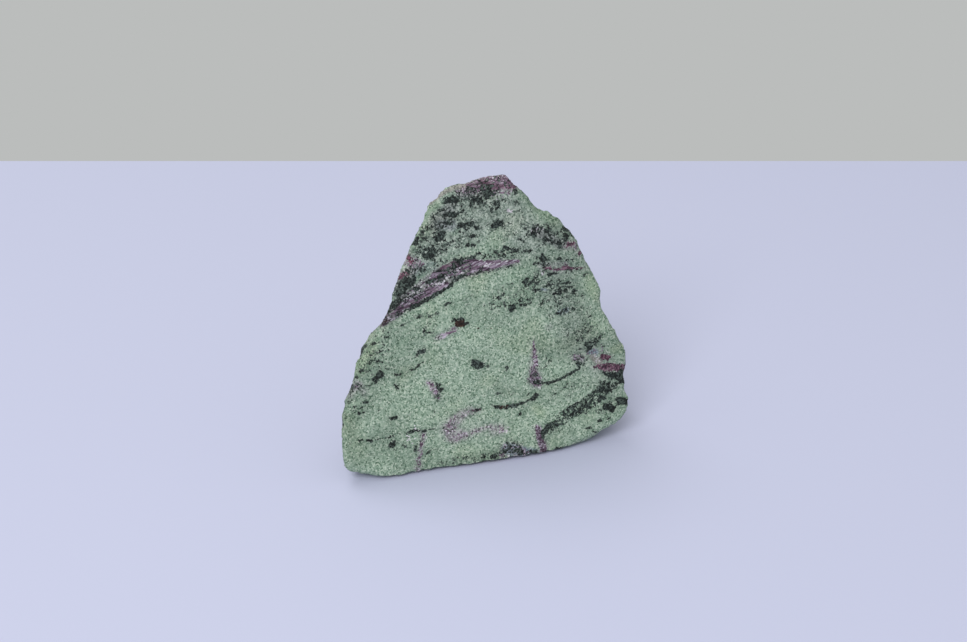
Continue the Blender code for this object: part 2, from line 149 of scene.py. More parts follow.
# Each mark: the share of grains of its mineral, how many pixels its edge fades over, and its line
# as (x, y, half-width) in pixels. First the black mineral.
HORNBLENDE = dict(
    # The top.
    under_cap=vein(0.5, 6, (446, 202, 4), (458, 196, 6), (472, 194, 7), (490, 190, 6)),
    cap=vein(0.28, 4, (470, 187, 5), (488, 183, 7), (514, 181, 6)),
    cap_left_knot=spot(0.7, 2.5, (451, 199, 3), (456, 200.5, 3.4)),
    cap_core=spot(0.95, 2, (489.5, 192, 2.8), (487, 197, 2.6)),
    cap_lower_core=spot(0.85, 2.5, (474, 200, 3.2), (480, 202, 3.4)),
    cap_small_knot=spot(0.9, 1.5, (470, 205, 1.8), (472, 206, 1.5)),
    cap_right_speck=spot(0.9, 1.5, (496, 202, 1.8), (498, 202, 1.5)),
    cap_far_right=spot(0.8, 2, (514, 191, 2), (517, 193, 2)),
    right_of_cap=spot(0.7, 2, (514, 202, 2), (520, 203, 1.5)),
    two_dots_left=spot(1, 1.5, (491, 210, 1.8), (492, 211, 1.5)),
    two_dots_right=spot(1, 1.5, (496.5, 208.5, 1.4), (498, 208, 1)),
    row_left=spot(1, 2, (449, 214, 2.2), (455, 215, 2.4)),
    row_middle=spot(0.9, 2, (459, 213, 1.3), (464, 210, 1.2)),
    upper_left_mass=vein(0.4, 6, (436, 220, 6), (446, 220, 6), (456, 221, 3)),
    row_below=spot(0.95, 1.5, (460, 224.5, 2), (466, 225, 2.2), (472, 223.5, 2.2)),
    after_row=spot(0.9, 1.5, (475, 228, 1.6), (478, 228, 1.4)),
    tilted_spot=spot(1, 1.5, (493.5, 226, 2.8), (500.5, 223.3, 3)),
    left_spot=spot(0.95, 2.5, (438, 238.5, 3.4), (441.5, 235, 3.2)),
    left_rim=spot(0.8, 2, (423, 229, 2), (422, 235, 2.5), (425, 238, 2)),
    left_rim_lower=spot(0.9, 2, (417, 239, 2.6), (415, 243, 2)),
    pair_left=spot(0.95, 1.2, (467, 245.5, 1.4), (469, 244.5, 1.2)),
    pair_right=spot(0.95, 1.2, (472.5, 244.5, 2), (475, 245.5, 1.4)),
    above_pair=spot(0.85, 1.5, (470, 237.5, 1.4), (474, 236, 1.4)),
    centre_of_top=spot(0.95, 1.5, (505, 247, 2.4), (508, 248, 1.8)),
    centre_right=spot(0.75, 2, (512, 250, 1.4), (520, 251, 1.2)),
    slanted_dash=spot(1, 1, (518.5, 238.7, 1), (523, 240.7, 1)),
    left_mass=vein(0.33, 8, (412, 248, 6), (430, 250, 9), (445, 246, 5)),
    left_mass_knot=spot(0.95, 2, (428, 257.5, 2.4), (433, 255.5, 3)),
    above_streak=spot(0.85, 2, (457, 261, 1.8), (463, 259, 2.2)),
    above_streak_right=spot(0.8, 2, (467.5, 258, 1.6), (474.5, 257, 1.6)),
    over_streak_right=vein(0.44, 6, (476, 255, 3), (500, 254, 5), (520, 251, 4)),
    top_speckle=vein(0.16, 20, (440, 240, 20), (480, 220, 26), (520, 225, 18)),
    # Upper right.
    corner_cloud=vein(0.36, 7, (532, 232, 6), (546, 233, 10), (560, 236, 10), (568, 236, 5)),
    corner_knot=spot(0.9, 2, (531.5, 234, 2), (534.5, 234.5, 2.4)),
    corner_speck=spot(0.9, 1.2, (534, 227.5, 1.4), (536, 227, 1.2)),
    corner_middle=spot(0.8, 2, (546, 231, 2), (549, 230, 1.6)),
    corner_line=spot(0.7, 2, (542, 238, 1.2), (551, 240.5, 1.8), (560, 243.5, 2)),
    corner_rim=spot(0.95, 1.5, (564, 228, 1.6), (568.5, 231, 1.8)),
    corner_rim_knot=spot(0.88, 2.5, (564.5, 235, 2.6), (565.5, 238.5, 2.6)),
    corner_lower_knot=spot(0.95, 2, (558.5, 242.5, 2), (560, 246, 2.4)),
    pointed_spot=spot(1, 1.6, (543, 255, 2), (543, 258, 3.6)),
    pointed_spots_mate=spot(0.8, 1.2, (535.5, 256, 1), (537, 258.5, 1)),
    below_mate=spot(0.5, 2.5, (533, 264, 1.8), (538, 263.5, 1.8)),
    after_spot=spot(0.75, 2, (558.5, 258.6, 2), (561, 260.4, 2)),
    beside_thin_ruby=spot(0.42, 6, (538, 274, 4), (546, 262, 5)),
    dashes=vein(0.75, 1.4, (566, 260.4, 1.2), (572.5, 259.4, 1.2)),
    small_left=spot(0.85, 1.5, (523, 250.3, 1.3), (531, 250.5, 1.6)),
    under_thin_ruby=vein(0.95, 1.5, (548, 274.4, 1.6), (552, 273.6, 2), (556, 273.8, 1.6)),
    rim_dash=vein(0.7, 2, (584, 275.6, 1.6), (587, 274.4, 1.4)),
    speckle_band=vein(0.22, 8, (524, 281, 5), (540, 284, 7), (556, 288, 6)),
    band_left_knot=spot(0.85, 2.5, (524, 281.5, 2.6), (527, 280, 2.2)),
    band_second=spot(0.55, 3, (532, 282, 3), (534.6, 279.6, 3)),
    band_right_knot=spot(0.95, 2, (573, 291.4, 2.2), (575, 290.6, 2.2)),
    band_low=spot(0.7, 2.4, (554.6, 293.2, 1.6), (561, 291.6, 2), (566, 290.6, 1.4)),
    band_high=spot(0.75, 1.5, (546, 285.6, 0.9), (556, 284, 1.2), (565, 283.4, 1.2), (571, 282, 1.2)),
    band_higher=spot(0.7, 1.5, (548, 281.2, 0.9), (560, 280.6, 0.9)),
    band_right=spot(0.65, 1.5, (562, 287, 0.9), (571, 286.4, 1.1)),
    band_dash=spot(0.85, 1.2, (533, 290.6, 1.2), (538.6, 290, 1.2)),
    below_band=vein(0.28, 9, (488, 308, 6), (506, 299, 10), (528, 293, 9)),
    below_knot=spot(1, 1.5, (511, 309.5, 2.2), (513.5, 307.5, 2)),
    below_dashes=vein(0.7, 2, (519, 305.5, 1.4), (531, 303.5, 1)),
    grey_spot=spot(0.75, 2, (558, 313.8, 1.8), (562.5, 311.8, 2.2), (566, 309.4, 1.4)),
    right_crumb=spot(0.75, 1.5, (589, 316.8, 1.2), (591, 316, 1.1)),
    right_dots=vein(0.7, 1.3, (520, 304.6, 0.9), (524, 305, 0.9)),
    right_speckle=vein(0.16, 16, (560, 305, 16), (580, 330, 14), (590, 345, 8)),
    far_right_band=vein(0.08, 6, (560, 296, 4), (583, 297, 5), (594, 304, 3)),
    # The main ruby streak and what goes with it.
    beside_streak=vein(0.78, 5, (406, 283, 6), (397, 291, 6)),
    beside_knot=spot(0.92, 2.5, (403.5, 285, 4.2), (411, 282, 4.2)),
    beside_right_knot=spot(1, 1.5, (414, 276.5, 2), (414.5, 279.5, 1.6)),
    beside_low_knot=spot(0.95, 1.5, (414, 288.3, 1.8), (417.5, 288.8, 1.6)),
    beside_lower=vein(0.88, 2.8, (399, 301, 3), (393, 305.5, 3.8), (386, 313, 3), (383.5, 317, 1.8)),
    beside_right=vein(0.3, 6, (420, 293, 4), (404, 296, 5)),
    within_streak=vein(0.6, 2.5, (427, 282.5, 2), (436, 280, 2.8), (444, 275, 1.8), (454, 271, 1.4)),
    within_top=vein(0.75, 2, (437, 271, 1.6), (445, 270.5, 1.6), (456, 265, 1.6), (468, 262.5, 1)),
    within_upper_mass=spot(0.5, 4, (452, 263, 2.6), (461, 258.5, 3)),
    within_grains=vein(0.3, 4, (478, 268, 5), (440, 277, 8), (400, 304, 8)),
    streaks_tip=spot(0.8, 1.6, (507, 266.6, 1.2), (511.6, 266, 1.2)),
    streak_blob=spot(1, 1.2, (448.8, 286.8, 2.1), (451.2, 284.2, 2.3)),
    streak_border=vein(0.97, 1.4, (446.5, 288.4, 1.6), (430, 298, 2), (412, 307.6, 2.2)),
    streak_border_left=vein(0.85, 1.4, (410, 308.8, 1.5), (401.6, 313, 1), (396, 316, 0.7)),
    streak_right_dots=vein(0.75, 1.8, (453, 281, 1.4), (460, 277, 2), (465, 275, 0.8)),
    streak_lower_edge=vein(0.4, 2, (468, 275.5, 1.2), (486, 271.3, 1.4), (508, 267.5, 1.4)),
    over_streak_left=vein(0.42, 7, (412, 272, 6), (434, 266, 4), (446, 262, 2)),
    beside_streak_top=vein(0.35, 5, (411, 266, 3), (405, 277, 4)),
    streak_left_end=vein(0.3, 3, (398, 314, 4), (384, 323, 3)),
    # The middle.
    green_crescent=spot(0.9, 1.2, (444.5, 305.5, 1.6), (448, 303.2, 1.4), (452.5, 303.6, 0.9)),
    crumbs=spot(0.55, 2, (430, 316, 2), (438, 313, 1.6)),
    dark_crumb=spot(0.9, 1.5, (417.5, 317.7, 1.6), (420, 316.5, 1.6)),
    rim_crumb=spot(0.85, 1.5, (402, 325.5, 1.4), (404, 324.5, 1.3)),
    smudge=vein(0.5, 4, (424, 331, 2.5), (432, 333, 3.5), (440, 339, 2)),
    rim_of_rust=spot(0.8, 2, (454, 320.6, 2), (460, 320, 3), (466.4, 323.4, 2.2)),
    flat_spot=spot(0.95, 1.5, (418.5, 352.6, 1.5), (424, 351, 2.1)),
    middle_spot=spot(1, 1.2, (474.8, 363, 4.2), (478.5, 364.8, 5)),
    middle_spots_mate=spot(0.75, 1.5, (484.5, 364.5, 1.4), (488, 366, 1.6)),
    right_of_vertical=spot(0.2, 6, (546, 358, 5), (548, 372, 5)),
    vertical_dark=spot(0.35, 4, (534, 373, 4), (535.5, 381, 4.4)),
    small_round=spot(0.95, 1.2, (507, 368, 1.9), (507, 369.2, 1.9)),
    left_oval=spot(0.93, 2, (375.8, 379.2, 3.2), (380.8, 374.6, 3.6)),
    left_oval_tail=vein(0.5, 1.6, (368, 385.3, 0.8), (376.5, 382.8, 1)),
    above_oval=spot(0.8, 1.3, (386.2, 369.3, 1), (389.2, 369.5, 1.1)),
    left_flat=spot(0.8, 1.8, (394.8, 385.5, 1.6), (397.6, 388.2, 1.6)),
    arc=vein(0.75, 1.5, (394.8, 374.2, 1.2), (401, 374.2, 1.2)),
    arc_right=vein(0.65, 1.6, (408.5, 371.5, 1), (414, 369.2, 1.4), (418.5, 365.5, 1), (423, 361, 1.2)),
    far_left_dashes=vein(0.6, 1.5, (371, 362, 1.6), (379.4, 360.8, 1)),
    far_left_spot=spot(0.75, 2, (360.4, 371.6, 1.5), (363, 370.6, 1.5)),
    far_left_row=vein(0.75, 1.5, (356, 377.2, 1.2), (357, 376.6, 1)),
    far_left_rim=vein(0.4, 1.5, (353.6, 378, 0.8), (352.6, 388, 1), (350.4, 397, 0.9)),
    far_left_dash=vein(0.7, 1.5, (363.6, 403, 1), (370.8, 401.8, 1)),
    ring_left=vein(0.7, 1.6, (361.5, 407.8, 1), (357.8, 409.6, 1.2), (359.6, 413.8, 1)),
    ring_right=spot(0.6, 1.6, (363.4, 412.4, 0.9), (366.2, 411, 1)),
    far_left_small=spot(0.65, 1.6, (377.6, 411, 1.1), (379.4, 409.8, 1)),
    rim_dash_left=spot(0.7, 1.4, (345.2, 418.2, 1), (348, 417.8, 1)),
    rim_upper=spot(0.85, 2, (371.5, 338, 1.8), (375, 336, 1.6)),
    rim_second=spot(0.95, 1.5, (372, 344, 1.8), (375, 343.3, 1.6)),
    rim_third=spot(0.7, 1.5, (385, 337.5, 1.3), (388, 336.5, 1.3)),
    left_edge=spot(0.6, 2, (342, 420, 1.5), (342, 425, 1.8)),
    left_speckle=vein(0.12, 18, (376, 340, 10), (362, 372, 14), (352, 410, 12)),
    # Lower left.
    dashes_first=vein(0.7, 1.3, (359, 440.4, 1), (362.6, 440, 1)),
    dashes_second=vein(0.9, 1.3, (366.4, 440.6, 1.2), (371.2, 440.9, 1.6)),
    dashes_third=vein(0.65, 1.3, (376.4, 439.8, 0.9), (384, 438.2, 0.8), (390, 437, 1), (393, 436, 1.3)),
    dashes_fourth=vein(0.8, 1.4, (407, 433.6, 1), (411, 432, 1.4), (415, 430.4, 1.3), (419, 431, 1.1)),
    dashes_fifth=spot(0.95, 1.3, (422.8, 431.1, 1.2), (425.6, 431, 1.2)),
    dashes_sixth=vein(0.6, 1.6, (429.4, 430, 1.4), (434.4, 428.8, 1.4)),
    dashes_last=spot(0.75, 1.5, (440.2, 429, 1.2), (442.6, 428.4, 1.2)),
    lower_left_spot=spot(0.85, 2.2, (389.8, 446.4, 2), (395, 442.4, 2.8)),
    flat_spot_left=spot(0.75, 1.8, (390.2, 418.8, 1.8), (396.6, 417.2, 1.3)),
    by_pale_streak=spot(0.92, 1.5, (415.6, 446.8, 1.7), (414.6, 450.6, 1.3)),
    by_pale_streak_right=spot(0.8, 1.5, (427.4, 453.4, 1.4), (430.2, 450.2, 1.1)),
    beside_patch=spot(0.6, 1.5, (434, 409.8, 1.2), (435, 411, 1.1)),
    below_patch=vein(0.6, 1.5, (437.4, 401.6, 0.9), (441.6, 402.2, 0.9)),
    lower_crumbs=spot(0.6, 2, (405.5, 446, 1.2), (407, 447, 1.2)),
    # Lower middle.
    brown_centred_vein=vein(
        0.95, 1.2, (493, 406, 1.2), (500, 407.5, 1.9), (508, 407.2, 2), (518, 405, 1.4),
        (526, 402.3, 1.5), (530, 400, 1.4),
    ),
    veins_head=spot(1, 1.2, (532.6, 398.8, 2.2), (537, 395, 2.2)),
    beside_head=spot(0.8, 1.2, (527.4, 395.1, 1.1), (529.2, 393.6, 1.1)),
    thin_line=vein(0.6, 1.2, (496.5, 393.7, 0.7), (503, 393.2, 0.8)),
    lone_speck=spot(0.75, 1.5, (519.6, 414.8, 1.6), (521, 412.9, 1.5)),
    rubys_dark_end=spot(0.85, 1.5, (474, 411, 1.2), (480, 409.7, 1.5)),
    purple_patch_top=spot(0.85, 1.3, (436.6, 384, 1.3), (439.2, 385.2, 1.3)),
    purple_patch_edge=spot(0.95, 1.3, (438, 387.5, 1.6), (440.6, 391, 1.7), (443.2, 389.6, 1.1)),
    purple_patch_foot=spot(0.9, 1.3, (435.2, 397, 1.2), (438.2, 395.2, 1.6)),
    vertical_foot=spot(0.55, 2, (531, 381, 2), (541, 382.5, 1.8)),
    right_vein=vein(
        0.9, 1.2, (538, 383.6, 1.2), (549, 383, 1.4), (556, 380.5, 1.3), (563, 377.4, 1.3),
        (571, 373.8, 1.2), (579.3, 368.6, 1.6), (578.2, 362.5, 1.8),
    ),
    below_right_vein=spot(0.14, 6, (556, 394, 5), (584, 384, 6)),
    foot_patch_left=spot(0.72, 2.5, (500, 452.6, 1.6), (511, 450.4, 3), (521, 451, 3)),
    foot_patch_right=spot(0.92, 2, (531.5, 452.3, 2.8), (537, 452, 2.8)),
    foot_patch_between=vein(0.6, 2, (520, 453, 2.4), (534, 454.4, 2)),
    foot_patch_upper=spot(0.45, 3.5, (506, 446, 3.4), (513, 444, 3.6), (519, 445, 3.2)),
    foot_knot=spot(1, 1.5, (492.4, 456.6, 2.5), (495.2, 455.8, 2.3)),
    foot_left_specks=vein(0.2, 4, (440, 463, 3), (470, 459, 4), (488, 455, 3)),
    beside_purple=vein(0.95, 1.8, (547.5, 428.3, 2.6), (543.6, 432.4, 3), (542.6, 439, 1.4)),
    # Right.
    under_red=spot(0.97, 2, (603, 372.4, 1), (613, 375, 3.2), (621, 376, 4.8)),
    under_red_edge=vein(0.95, 2, (621.6, 370.5, 2.4), (622, 381, 3)),
    right_speckle_zone=vein(0.5, 5, (613, 381, 7), (605, 388, 7.5)),
    right_band=vein(
        0.62, 4.4, (604, 389, 6), (596, 397, 7), (582, 406.5, 7.2), (572, 411.5, 6.6),
        (561, 418.5, 6), (551, 427, 5.4), (545, 432, 3.4),
    ),
    right_band_core=vein(0.22, 4, (598, 396, 4), (586, 405, 4), (568, 415.5, 3)),
    right_knob=spot(0.95, 2, (619, 399.5, 3.2), (624.5, 402, 3.8)),
    right_knob_lower=spot(0.8, 2, (617.6, 403.6, 1.6), (620, 402.6, 1.8)),
    right_inner_knob=spot(0.97, 2, (606.4, 406.6, 3.4), (611, 408, 3.8)),
    beside_knobs=vein(0.35, 4, (596, 412, 3), (616, 408, 4)),
    rim_low=spot(0.85, 1.5, (598.8, 421, 1.5), (600.8, 420.4, 1.5)),
    rim_low_right=spot(0.8, 1.3, (608, 418.8, 1.2), (609.3, 418.2, 1.2)),
    edge_first=spot(0.9, 1.5, (557, 449.2, 1.8), (562.6, 448.2, 1.8)),
    edge_second=spot(0.85, 1.3, (578, 443.6, 1), (580.2, 443, 1)),
    edge_third=spot(0.8, 1.3, (593.5, 432.2, 1.1), (596.2, 431.7, 1.1)),
    edge_fourth=spot(0.8, 1.5, (586.5, 428.4, 1.6), (589.6, 427.4, 1.5)),
    blue_grey_dark=spot(0.85, 1.6, (587.2, 350.4, 1.9), (589.4, 348.6, 1.8)),
    above_ruby_oval=vein(0.5, 4, (588, 345, 4), (598, 341, 4)),
    beside_brown_pink=spot(0.3, 4, (576, 357, 4), (584, 362, 4)),
)

# Red to lilac.
RUBY = dict(
    cap=vein(0.72, 3, (466, 190, 4), (482, 185.4, 6), (498, 182.4, 6.4), (514, 182, 6.6)),
    cap_left=vein(0.5, 3, (456, 192, 2), (468, 190, 3)),
    cap_below=spot(0.35, 5, (496, 194, 4), (510, 190, 4)),
    caps_rim=vein(0.6, 3, (468, 184, 3), (484, 179, 3.4), (500, 177, 3.4), (508, 177, 3)),
    cap_band=vein(0.6, 2, (472, 188, 1.6), (490, 185.6, 2), (506, 187.4, 2.2), (514, 186, 1.6)),
    streak_right=vein(0.75, 2.5, (518, 261, 1.5), (505, 262.4, 3.2), (490, 265, 4.6), (474, 268, 6)),
    streak_middle=vein(0.72, 3, (474, 267, 5.5), (458, 270, 5.5), (446, 272, 5), (434, 277, 4)),
    streak_upper_tip=vein(0.6, 2.5, (441, 269, 2), (452, 265.5, 2.5), (466, 261.5, 2.5), (476, 259, 1.5)),
    streak_lower=vein(
        0.85, 2, (447.5, 284, 2.4), (438, 287.5, 3.4), (424, 295, 3.6), (409, 303.5, 4.2),
        (396, 312, 4.2), (387, 319, 3.4), (382, 325.5, 2),
    ),
    streak_inner=vein(0.4, 4, (440, 279, 3), (425, 287, 5), (408, 296, 5), (396, 304, 4)),
    streaks_head=vein(0.75, 2, (443, 268.4, 3), (451, 265, 3.2), (462, 262.6, 2.4), (476, 260.6, 2)),
    red_spot=spot(0.8, 4, (407, 256, 3), (410.5, 260.5, 3.4)),
    red_spots_halo=spot(0.4, 5, (404, 262, 4), (413, 262, 5), (421, 265, 4)),
    red_rim=spot(0.9, 3, (399.5, 277.5, 2.6), (404.5, 275, 3.6), (409, 273.5, 2.4)),
    mottled_corner=spot(0.35, 4, (562, 247, 3), (575, 246, 3)),
    corner_red=spot(0.9, 2, (568.5, 245, 1.8), (573, 243.4, 1.8)),
    rim_red=spot(0.95, 1.4, (579, 253.6, 1.8), (581.6, 252, 1.8)),
    thin_ruby=vein(
        0.82, 2, (542, 266.8, 1.2), (548, 268.2, 1.9), (556, 269.6, 1.5), (564, 268.8, 2), (572, 268.4, 1.2),
        (586, 268.2, 0.8),
    ),
    thin_rubys_halo=vein(0.22, 3, (540, 264, 2.4), (566, 264.6, 2.4)),
    small_streak=vein(0.62, 2, (440, 337.8, 1.8), (447, 333.8, 2), (455.6, 329, 1.4)),
    vertical_streak=vein(0.75, 1.8, (533, 341, 0.9), (534.5, 352, 1.6), (536, 364, 2.6)),
    vertical_patch=spot(0.8, 3.5, (533.5, 371, 4), (534.5, 378, 5.4), (536, 382, 4.4)),
    vertical_foot=spot(0.4, 3, (529, 380, 2.5), (540, 384.5, 2)),
    purple_patch=spot(0.68, 2.4, (428.6, 383, 2.6), (432, 385.5, 2.6), (435.4, 392, 2.4), (437, 397, 2.2)),
    pink_streak=spot(0.32, 6, (472, 411, 2.4), (464, 413.6, 3.2), (455, 420, 5), (450, 428, 5)),
    pink_streaks_end=spot(0.85, 1.5, (472.5, 410.2, 1.2), (479, 410.4, 1.2)),
    lower_patch=spot(0.22, 7, (447, 430, 5), (451, 436, 5.6), (462, 434, 4)),
    lower_arm=vein(0.26, 4, (454, 440, 2.4), (462, 436.5, 2.8), (472, 432.4, 1.8), (491, 426, 1)),
    mottled=spot(0.22, 6, (494, 430, 4), (501, 429.2, 4.4)),
    bottom_streak=vein(
        0.95, 1.8, (537.6, 428, 2.8), (539, 436, 3.2), (541.3, 442, 3.6), (543, 448, 3.8), (544.5, 456, 3.6),
    ),
    bottom_patch=spot(0.4, 3, (504, 447, 4), (516, 449, 5), (526, 453.5, 3)),
    bottom_left=spot(0.45, 2.5, (500, 455, 2.2), (503.2, 456.4, 2.4)),
    pale_streak=vein(
        0.62, 2, (423.6, 434, 1.6), (423.2, 438, 1.8), (421.5, 444, 1.6), (420.4, 450, 1.5),
        (421.4, 454, 1.2), (418.2, 460, 1.8), (419, 463.5, 1.6), (417.4, 468, 1.8), (418.4, 471, 1.6),
    ),
    edge_grey=spot(0.4, 3, (355, 388, 2.6), (358, 384.5, 2.4)),
    ruby_oval=spot(0.95, 1.6, (602.4, 357, 2.9), (607.4, 357, 2.9)),
    brown_pink=spot(0.5, 3, (575, 357.2, 2.8), (581, 358.6, 2.8)),
    red_band=vein(0.92, 1.8, (595, 367, 1.6), (604, 366.8, 4), (612, 367.2, 4.2), (627, 368, 3.6)),
    right_haze=spot(0.25, 4, (590, 352, 4), (600, 348, 4)),
)

# Near white, and two white dots that are painted glints of light.
PALE_AND_GLINTS = dict(
    lilac_line_right=vein(0.7, 1.2, (494, 264.6, 0.9), (504, 263, 1.2), (513, 261.6, 1)),
    streaks_grains=vein(0.1, 4, (510, 263, 2), (480, 267, 5), (440, 277, 8), (400, 304, 8)),
    white_middle=spot(0.85, 1.2, (443, 276.2, 1.1), (447.6, 276.6, 1.2)),
    white_right=spot(0.75, 1.2, (459.5, 273.3, 0.8), (464, 271.7, 0.9)),
    white_top=spot(0.7, 1.5, (475, 263.6, 1.1), (480.6, 261.8, 1.3)),
    lilac_line_left=vein(0.8, 1.2, (440, 283, 1.3), (430, 290, 0.7), (420, 296.4, 0.7), (407, 305, 1.3)),
    pink_middle=vein(0.22, 2.5, (412, 293, 2), (428, 286, 2.5), (442, 280, 2)),
    cap=vein(0.16, 4, (476, 183, 2), (492, 180, 2.5), (512, 180, 2.5)),
    below_cap=spot(0.22, 5, (494, 195, 4), (508, 192, 4)),
    # Painted glints: two white dots where light glints off grains.
    painted_glint=spot(1, 0.8, (508.8, 210.4, 1.5), (510.6, 211.5, 1.3)),
    right_painted_glint=spot(1, 0.8, (616.6, 370.6, 1.3), (617.4, 371.6, 1.1)),
    ruby_ovals_bed=spot(0.2, 2.5, (595, 356.5, 2.6), (598, 361, 2.4)),
    foot_edge=spot(0.3, 2, (501, 457, 1.6), (511, 456.8, 1.4), (517.6, 454.8, 1.8)),
    between_dashes=spot(0.14, 6, (411, 438, 5), (418, 428, 4)),
    vertical_foot=spot(0.4, 2.5, (538.6, 385.6, 1.8), (541.4, 388.6, 1.8)),
    by_mottled=spot(0.14, 4, (490, 429, 3), (506, 430, 3)),
    by_pink_streak=spot(0.32, 4, (458, 417, 3), (472, 411.5, 3)),
    by_pale_streak=vein(0.22, 2.5, (424.5, 434, 2.5), (421, 450, 2)),
    by_purple_patch=spot(0.35, 2.5, (429, 381, 2), (434, 392, 2.5)),
    by_vertical=spot(0.35, 2.5, (531, 371, 2), (540, 376, 2)),
    corner=spot(0.3, 3, (534, 230, 2.5), (541, 229.5, 2.5)),
    under_thin_ruby=spot(0.35, 2, (541, 270, 1), (543, 273.5, 1.2)),
    streak_right=vein(0.26, 3, (514, 262, 2), (486, 266, 4)),
    streak_middle=vein(0.12, 3, (486, 266, 4), (446, 273, 6)),
)

# Rusty brown.
RUST = dict(
    rust_spot=spot(0.95, 2, (457.4, 323.8, 2.8), (462.6, 323.6, 3)),
    veins_middle=spot(0.5, 1.6, (500.6, 407, 1.6), (506.4, 406.8, 1.7)),
    streaks_tail=spot(0.7, 1.8, (383.5, 323.5, 1.4), (386.5, 321, 1.4)),
    crumb=spot(0.6, 1.2, (477.5, 328.5, 0.9), (479, 328.5, 0.9)),
    crumb_right=spot(0.5, 1.2, (490, 328, 0.7), (491, 328, 0.7)),
)

# Where the green is yellower.
YELLOW_GREEN = dict(
    right_rim=vein(0.5, 8, (589, 278, 4), (592, 288, 6), (597, 298, 4)),
    left_rim=vein(0.3, 10, (370, 346, 8), (358, 362, 6)),
    left_foot=vein(0.3, 16, (352, 424, 8), (356, 450, 10)),
    above_band=spot(0.5, 8, (536, 408, 4.5), (541, 413.5, 4.5)),
    right=vein(0.5, 6, (612, 350, 3), (620, 348, 4)),
    top=vein(0.3, 10, (496, 238, 8), (515, 222, 10)),
    left_top=spot(0.4, 6, (428, 210, 3), (436, 204, 4)),
)

# Where the green is deeper, and painted shade on the right bevel.
DEEP_GREEN_AND_SHADE = dict(
    patch=spot(0.9, 4, (453, 233, 3), (458, 231.5, 3)),
    # Painted shade on the right bevel, which turns away from the light.
    shaded_right_bevel=vein(0.5, 5, (521, 192, 3), (535, 206, 5), (552, 219, 4), (563, 228, 3)),
    top_left=spot(0.5, 5, (437, 208, 3), (442, 205, 3)),
    corner=spot(0.5, 4, (567, 252, 4), (573, 250, 3)),
    left=spot(0.3, 6, (400, 402, 5), (420, 410, 6)),
)

# Where the green turns to blue-grey, and one painted glint of light.
BLUE_GREY_AND_GLINT = dict(
    right=spot(0.9, 3, (590, 352, 2.6), (596.6, 351.6, 2.8)),
    middle_right=spot(0.8, 2, (559.5, 312.5, 2), (567, 309.5, 2)),
    # A painted reflection: a faint blue-grey tint, and a wider one round it, where a light glints off the
    # rock.
    painted_violet_glint=spot(1, 1, (541.8, 289.5, 0.9), (544.4, 289.6, 1)),
    painted_glint_surround=spot(0.5, 1.4, (541.5, 289.4, 1.4), (548, 290, 1.4)),
    upper_left=spot(0.25, 6, (440, 224, 5), (452, 226, 5)),
    foot_patch=spot(0.85, 5, (508, 449, 6), (522, 452, 5), (536, 453, 4)),
    streaks_bed=spot(0.2, 6, (418, 270, 6), (432, 266, 5)),
)

# Where the green turns to tan.
TAN = dict(
    top_bevel=vein(0.9, 2, (427.6, 203.6, 2.4), (442, 193.4, 2.5), (453.4, 187.6, 2.6), (469, 185.6, 2)),
    right_end_of_cap=spot(0.5, 2, (514.5, 187, 2), (512, 189.5, 1.8)),
    ruby_ovals_bed=spot(0.9, 3, (592.6, 357, 3), (599, 362, 3.4)),
)

# Where the rock is darker all over: partly darker rock, partly painted shade where the face turns away from
# the light, as on its right.
SHADE = dict(
    # Partly painted shade: the right of the face turns away from the light.
    upper_right=vein(0.38, 22, (552, 236, 18), (566, 262, 18), (572, 288, 16), (576, 330, 18)),
    top=vein(0.16, 20, (440, 225, 14), (470, 200, 14), (480, 215, 12)),
    top_right=spot(0.2, 12, (515, 205, 10), (525, 214, 8)),
    # Painted shade on the right bevel, which turns away from the light.
    shaded_right_bevel=vein(0.3, 5, (520, 190, 3), (537, 207, 5), (556, 221, 4)),
    right_of_streak=vein(0.3, 18, (500, 258, 8), (535, 266, 14), (545, 290, 16), (510, 300, 12)),
    streak=vein(0.34, 8, (446, 272, 6), (425, 280, 12), (404, 300, 12), (388, 318, 8)),
    left_middle=vein(0.34, 18, (388, 326, 10), (404, 340, 16), (398, 372, 10)),
    middle=vein(0.2, 20, (456, 312, 10), (520, 318, 12)),
    # Partly painted shade, where the right of the face turns away from the light.
    right_middle=vein(0.42, 18, (546, 350, 10), (572, 352, 12), (606, 350, 18)),
    right_lower=vein(0.25, 12, (606, 384, 9), (612, 402, 9)),
    over_band=vein(0.22, 14, (500, 388, 8), (530, 404, 10), (566, 386, 12)),
    under_band=vein(0.22, 12, (548, 436, 6), (568, 430, 8)),
    left=vein(0.34, 18, (350, 414, 14), (370, 392, 14), (376, 362, 10)),
    left_foot=vein(0.36, 18, (348, 436, 12), (356, 456, 14), (376, 446, 14)),
    lower_left=vein(0.22, 16, (394, 430, 14), (400, 460, 12), (434, 452, 8)),
    foot=vein(0.3, 8, (420, 468, 5), (470, 460, 6), (500, 453, 7)),
    streak_left_end=spot(0.25, 5, (398, 314, 5), (386, 321, 5)),
    vertical=spot(0.45, 4, (534, 372, 4.6), (535.5, 381, 5)),
    bottom_streak=vein(0.6, 3, (538, 430, 3), (544.5, 455, 4)),
    foot_edge=spot(0.5, 3, (504, 456.5, 2), (520, 455, 2)),
    left_rim=spot(0.3, 10, (368, 352, 6), (372, 344, 6)),
    top_bevel=vein(0.2, 4, (428, 203, 4), (454, 188, 4)),
)

